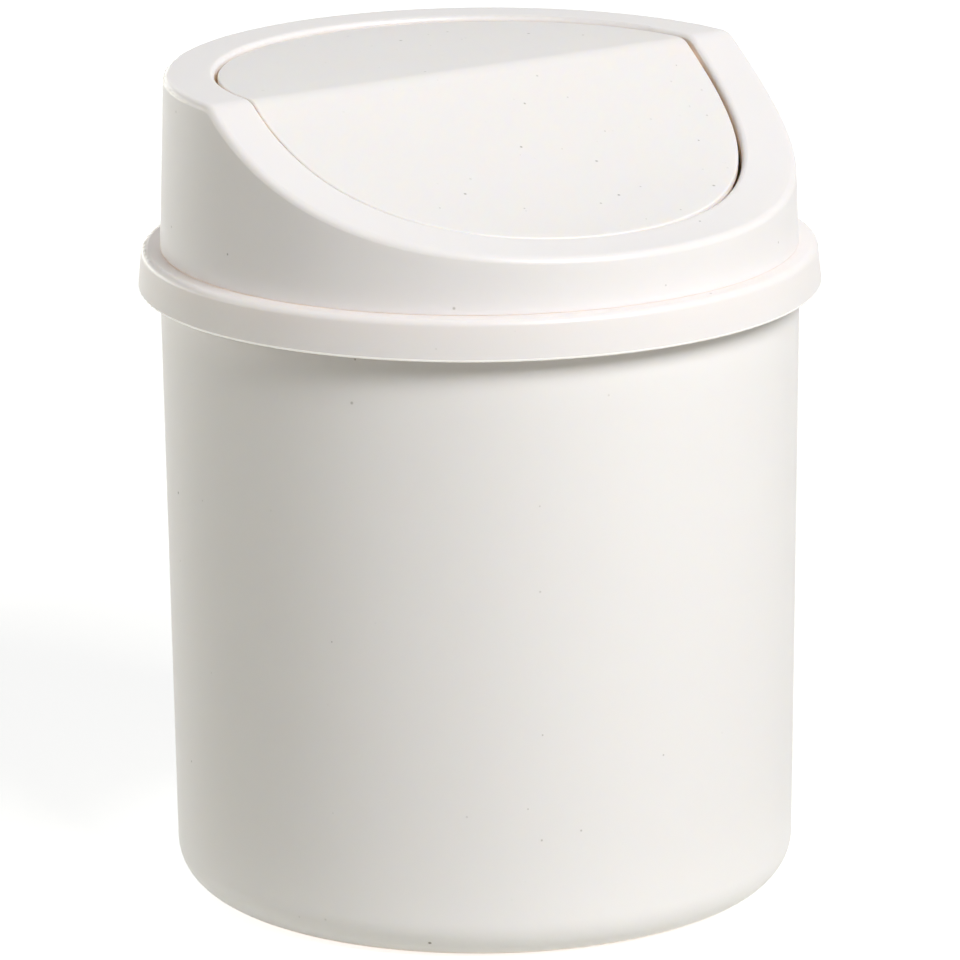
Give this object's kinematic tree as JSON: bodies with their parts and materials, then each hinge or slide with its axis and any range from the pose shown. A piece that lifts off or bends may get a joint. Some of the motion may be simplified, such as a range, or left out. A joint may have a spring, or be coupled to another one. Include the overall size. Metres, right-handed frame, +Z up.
{
  "type": "countertop swing-lid bin",
  "caption": "Small round countertop waste bin: tapered bucket, push-on scooped hood lid and a balanced flap that swings both ways on moulded pins.",
  "frame": {"origin": "centre of the foot ring, on the surface the bin stands on", "axes": "+Z up; the scooped side of the hood faces -Y; the flap's hinge axis runs along X"},
  "size_m": [0.1336, 0.1336, 0.163],
  "materials": {
    "bucket_plastic": "satin off-white moulded polypropylene",
    "lid_plastic": "satin off-white moulded polypropylene",
    "flap_plastic": "satin off-white moulded polypropylene"
  },
  "bodies": {
    "bucket": {"bin_bucket": "bucket_plastic"},
    "lid": {"swing_lid_hood": "lid_plastic"},
    "flap": {"swing_flap": "flap_plastic"}
  },
  "joints": [
    {"name": "lid_lift", "type": "slide", "parent": "bucket", "child": "lid", "axis": [0, 0, 1], "range_m": [0, 0.08]},
    {"name": "flap_swing", "type": "hinge", "parent": "lid", "child": "flap", "pos_m": [0, 0.00022, 0.1572], "axis": [1, 0, 0], "range_deg": [-185, 155]}
  ]
}
